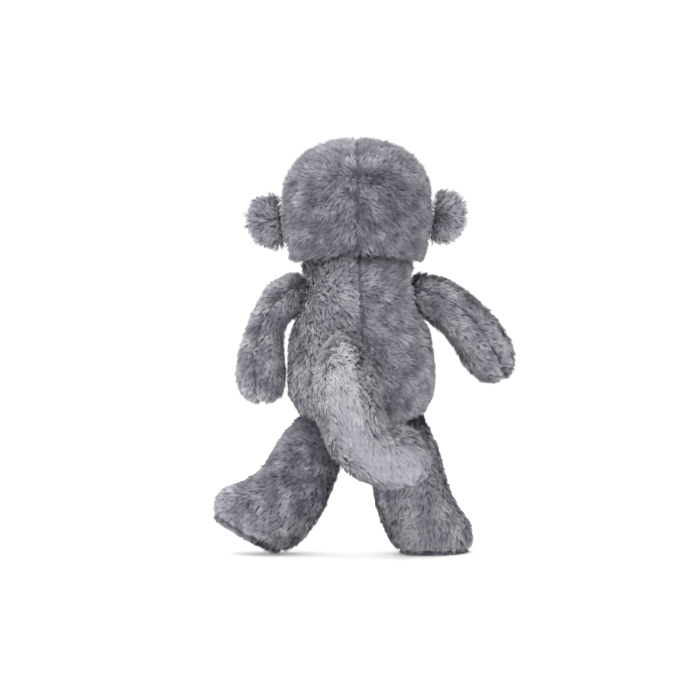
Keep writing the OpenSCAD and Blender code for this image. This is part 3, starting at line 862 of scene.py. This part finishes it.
NEEDLE = 0.0001 * MM         # the radius that a turned profile starts and ends with
JOINED = 0.001 * MM          # points nearer than this are made one
EYE_SIDES = 32
DOME_STEPS = 6
DOME_HEIGHT = 0.62           # shares of the eye's radius
DOME_RADIUS = 0.93
STEM_RADIUS = 0.3
STEM_GROOVE_RADIUS = 0.24
EYE_RIM = ((0.99, 1.06), (0.97, 1.3), (STEM_RADIUS, 1.36))  # a radius, and how many domes deep
STEM_START = 1.5             # in domes too
STEM_RIBS = 5
RIB_HEIGHT = 0.1             # of the eye's whole length
NOSE_RINGS = 7
NOSE_SIDES = 24
NOSE_TAPER = 0.22            # how much the nose widens towards its top, and narrows below
NOSE_TRIM = 1.1              # brings the width that gives it back inside its box
NOSE_FULLNESS = 2.6          # more than 2 makes its dome flatter in the middle than a ball
NOSTRIL_SIDEWAYS = 0.42      # shares of the nose's half width and half height
NOSTRIL_DROP = 0.3
NOSTRIL_DEPTH = 1.1 * MM
NOSTRIL_RADIUS = 1.9 * MM


def turned(name, profile, sides, foot, way):
    """A solid of revolution from (radius, height) points, standing at `foot` and facing `way`."""
    shape = bmesh.new()
    outline = [shape.verts.new((radius, 0, height)) for radius, height in profile]
    edges = [shape.edges.new(pair) for pair in zip(outline, outline[1:])]
    bmesh.ops.spin(
        shape, geom=outline + edges, axis=(0, 0, 1), cent=(0, 0, 0),
        angle=2 * math.pi, steps=sides, use_merge=True,
    )
    bmesh.ops.remove_doubles(shape, verts=shape.verts, dist=JOINED)
    bmesh.ops.recalc_face_normals(shape, faces=shape.faces)
    turn = Vector(way).to_track_quat("Z", "Y").to_matrix().to_4x4()
    bmesh.ops.transform(shape, matrix=Matrix.Translation(foot) @ turn, verts=shape.verts)
    return smooth_piece(name, mesh_of(shape, name))


def smooth_piece(name, mesh):
    """A new object from a coarse mesh, rounded and smoothly shaded."""
    piece = link(name, mesh)
    subdivide(piece)
    piece.data.shade_smooth()
    return piece


def stand_for(thing, node, material, body):
    """Gives a new piece its material and puts it in a CAD node's place."""
    thing.data.materials.append(material)
    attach(thing, body)
    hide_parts(node)


def eye_profile(radius, length):
    """An eye's outline from the top of its dome to the foot of its stem, as (radius, height)."""
    dome = DOME_HEIGHT * radius
    profile = [(NEEDLE, length)]
    for step in range(1, DOME_STEPS + 1):
        angle = step / DOME_STEPS * math.pi / 2
        height = length - dome * (1 - math.cos(angle))
        profile.append((DOME_RADIUS * radius * math.sin(angle), height))
    profile += [(share * radius, length - depth * dome) for share, depth in EYE_RIM]
    for rib in range(STEM_RIBS):
        height = (length - STEM_START * dome) * (1 - rib / STEM_RIBS)
        profile.append((STEM_RADIUS * radius, height))
        profile.append((STEM_GROOVE_RADIUS * radius, height - RIB_HEIGHT * length))
    profile.append((NEEDLE, 0))
    return profile


def make_eye(side):
    """A domed safety eye with a rolled rim, on its ribbed stem."""
    node = f"{side}_eye"
    low, high = (Vector(corner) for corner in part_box(node))
    centre = (low + high) / 2
    profile = eye_profile(radius=(high.x - low.x) / 2, length=high.y - low.y)
    foot = Vector((centre.x, high.y, centre.z))
    eye = turned(node, profile, EYE_SIDES, foot, way=(0, -1, 0))
    stand_for(eye, node, eye_plastic, "head")


def nose_point(low, high, share, angle):
    """A point on the front of the nose in this box, `share` of the way from its middle to its rim."""
    half_width, half_height = (high.x - low.x) / 2, (high.z - low.z) / 2
    taper = 1 + NOSE_TAPER * math.sin(angle)
    x = share * half_width * math.cos(angle) * taper / NOSE_TRIM
    z = share * half_height * math.sin(angle)
    rise = (1 - share ** NOSE_FULLNESS) ** 0.5
    nostril = math.hypot(abs(x) - NOSTRIL_SIDEWAYS * half_width, z + NOSTRIL_DROP * half_height)
    dent = NOSTRIL_DEPTH * math.exp(-(nostril / NOSTRIL_RADIUS) ** 2)
    middle = (low + high) / 2
    return (middle.x + x, high.y - (high.y - low.y) * rise + dent, middle.z + z)


def make_nose():
    """A flat-backed rounded triangle, domed, with two shallow nostrils."""
    low, high = (Vector(corner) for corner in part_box("nose"))
    angles = [2 * math.pi * step / NOSE_SIDES for step in range(NOSE_SIDES)]
    shape = bmesh.new()
    rings = []
    for ring in range(NOSE_RINGS + 1):
        points = [nose_point(low, high, ring / NOSE_RINGS, angle) for angle in angles]
        rings.append([shape.verts.new(point) for point in points])
    for inner, outer in zip(rings, rings[1:]):
        for step in range(NOSE_SIDES):
            after = (step + 1) % NOSE_SIDES
            shape.faces.new((inner[step], outer[step], outer[after], inner[after]))
    shape.faces.new(rings[-1][::-1])
    bmesh.ops.remove_doubles(shape, verts=shape.verts, dist=JOINED)
    bmesh.ops.recalc_face_normals(shape, faces=shape.faces)
    stand_for(smooth_piece("sewn_nose", mesh_of(shape, "nose")), "nose", nose_plastic, "head")


# ---------------------------------------------------------------- threads and what is inside

PLY_RADIUS = 0.35 * MM
PLY_STEP = 0.7 * MM
PLY_TURN = math.radians(60)
SKEW_WAY = Vector((0.31, 0.57, 0.76))    # no thread runs this way
LINE_POINTS = 48
SEAM_SINK = 8.5 * MM
BACK_THREAD_SINK = 6.2 * MM


def points_of(node):
    """Every vertex of a CAD node, as rows."""
    return np.array([vertex.co for vertex in frame["nodes"][node].data.vertices])


def ring_line(node, count):
    """The middle line of a CAD ring of thread, and the ring's centre."""
    points = points_of(node)
    centre = (points.min(axis=0) + points.max(axis=0)) / 2
    first, second = np.linalg.svd(points - centre, full_matrices=False)[2][:2]
    angles = np.arctan2((points - centre) @ second, (points - centre) @ first)
    groups = np.floor((angles + math.pi) / (2 * math.pi) * count).astype(int) % count
    return np.array([points[groups == group].mean(axis=0) for group in range(count)]), centre


def open_line(node, way, count):
    """The middle line of a CAD thread that runs along `way`."""
    points = points_of(node)
    places = points @ np.array(way)
    share = (places - places.min()) / (places.max() - places.min())
    groups = np.minimum((share * count).astype(int), count - 1)
    return np.array([points[groups == group].mean(axis=0) for group in np.unique(groups)])


def densely(line, closed):
    """The same line, with points about PLY_STEP apart."""
    ends = np.roll(line, -1, axis=0) if closed else line[1:]
    dense = []
    for here, there in zip(line, ends):
        steps = max(1, round(np.linalg.norm(there - here) / PLY_STEP))
        dense += [here + (there - here) * step / steps for step in range(steps)]
    return dense if closed else [*dense, line[-1]]


def thread(name, line, closed, node, body, material):
    """A two-ply thread twisted along a line, in place of a CAD thread."""
    curve = bpy.data.curves.new(name, "CURVE")
    curve.dimensions = "3D"
    curve.bevel_depth = PLY_RADIUS
    curve.bevel_resolution = 1
    dense = densely(line, closed)
    for ply in (0, math.pi):
        spline = curve.splines.new("POLY")
        spline.points.add(len(dense) - 1)
        spline.use_cyclic_u = closed
        for index, point in enumerate(dense):
            ahead = Vector(dense[(index + 1) % len(dense)] - dense[index - 1])
            side = ahead.cross(SKEW_WAY).normalized()
            other = ahead.normalized().cross(side)
            angle = ply + index * PLY_TURN
            offset = (side * math.cos(angle) + other * math.sin(angle)) * PLY_RADIUS
            spline.points[index].co = (*(Vector(point) + offset), 1)
    stand_for(link(name, curve), node, material, body)


def make_threads():
    """Every seam's thread, sunk to the bottom of its crease."""
    for body, nodes in BODIES.items():
        for node in nodes:
            if node.endswith("_seam"):
                line, centre = ring_line(node, LINE_POINTS)
                line += unit(centre - line) * SEAM_SINK
                thread(f"{node}_thread", line, True, node, body, grey_thread)
            elif node.endswith("back_thread"):
                line = open_line(node, (0, 0, 1), LINE_POINTS)
                line[:, 1] -= BACK_THREAD_SINK
                thread(f"{node}_line", line, False, node, body, grey_thread)
    mouth = open_line("mouth_stitch", (1, 0, 0), LINE_POINTS)
    thread("mouth_thread", mouth, False, "mouth_stitch", "head", dark_thread)


def finish_hidden_nodes():
    """The pieces inside keep their CAD shapes, with materials of their own."""
    for node, material in (
        ("left_eye_washer", washer_plastic), ("right_eye_washer", washer_plastic),
        ("seat_bean_bag", bag_cloth),
    ):
        mesh = frame["nodes"][node].data
        mesh.materials.clear()
        mesh.materials.append(material)


# ---------------------------------------------------------------- floor, light, camera

FLOOR_HALF = 12.0
FLOOR_SQUARES = 8
FLOOR_GLOW = 0.18            # thins the shadow, as an overexposed white sweep does
TENT_BRIGHTNESS = 1.04
# Each light: the way to it from the toy, its distance and its size in metres, and its power in watts.
LIGHTS = {
    "key": {"direction": (0.15, 1.0, 1.3), "distance": 1.6, "size": 1.2, "power": 8.5},
    "top": {"direction": (0.2, -0.1, 1.0), "distance": 1.5, "size": 1.4, "power": 7},
    "front": {"direction": (0.6, -1.2, 0.9), "distance": 1.8, "size": 1.4, "power": 8},
}
SENSOR_WIDTH = 36            # in millimetres, as lens lengths are
PICTURE_SHARE = 1.667        # the picture is this many times as high as the toy
CAMERA_DISTANCE = 3.2
CAMERA_ELEVATION = math.radians(3)
CAMERA_REACH = 100.0
AIM_SIDEWAYS = 10.9 * MM
AIM_UP = -2.4 * MM


def make_floor():
    """A white sweep under the toy, which only the camera's picture needs."""
    shape = bmesh.new()
    bmesh.ops.create_grid(
        shape, x_segments=FLOOR_SQUARES, y_segments=FLOOR_SQUARES, size=FLOOR_HALF,
    )
    floor = link("floor", mesh_of(shape, "floor"))
    floor.location.z = cad_low.z
    material, _, shader = new_material("pale_floor", roughness=0.9)
    shader.inputs["Base Color"].default_value = srgb(255, 255, 255)
    shader.inputs["Emission Color"].default_value = srgb(255, 255, 255)
    shader.inputs["Emission Strength"].default_value = FLOOR_GLOW
    floor.data.materials.append(material)


def make_world():
    """White light from all round, as inside a photographer's tent."""
    world = bpy.data.worlds.new("white tent")
    world.use_nodes = True
    sky = world.node_tree.nodes["Background"]
    sky.inputs["Color"].default_value = (1, 1, 1, 1)
    sky.inputs["Strength"].default_value = TENT_BRIGHTNESS
    scene.world = world


def make_light(name, direction, distance, size, power):
    """A soft square light that points at the toy."""
    lamp = bpy.data.lights.new(name, "AREA")
    lamp.size = size
    lamp.energy = power
    light = link(name, lamp)
    light.location = cad_middle + Vector(direction).normalized() * distance
    light.rotation_mode = "QUATERNION"
    light.rotation_quaternion = Vector(direction).to_track_quat("Z", "Y")


def make_camera():
    """A long lens behind the toy, slightly above its middle."""
    lens = bpy.data.cameras.new("camera")
    lens.sensor_width = SENSOR_WIDTH
    lens.lens = SENSOR_WIDTH * CAMERA_DISTANCE / (PICTURE_SHARE * cad_height)
    lens.clip_end = CAMERA_REACH
    camera = link("camera", lens)
    back = Vector((0, math.cos(CAMERA_ELEVATION), math.sin(CAMERA_ELEVATION)))
    aim = cad_middle + Vector((AIM_SIDEWAYS, 0, AIM_UP))
    camera.location = aim + back * CAMERA_DISTANCE
    camera.rotation_mode = "QUATERNION"
    camera.rotation_quaternion = back.to_track_quat("Z", "Y")
    scene.camera = camera


# ---------------------------------------------------------------- the toy in its scene

make_soft_parts()
for side in ("left", "right"):
    make_eye(side)
make_nose()
make_threads()
finish_hidden_nodes()
make_floor()
make_world()
for name, light in LIGHTS.items():
    make_light(name, **light)
make_camera()
scene.view_settings.view_transform = "Standard"
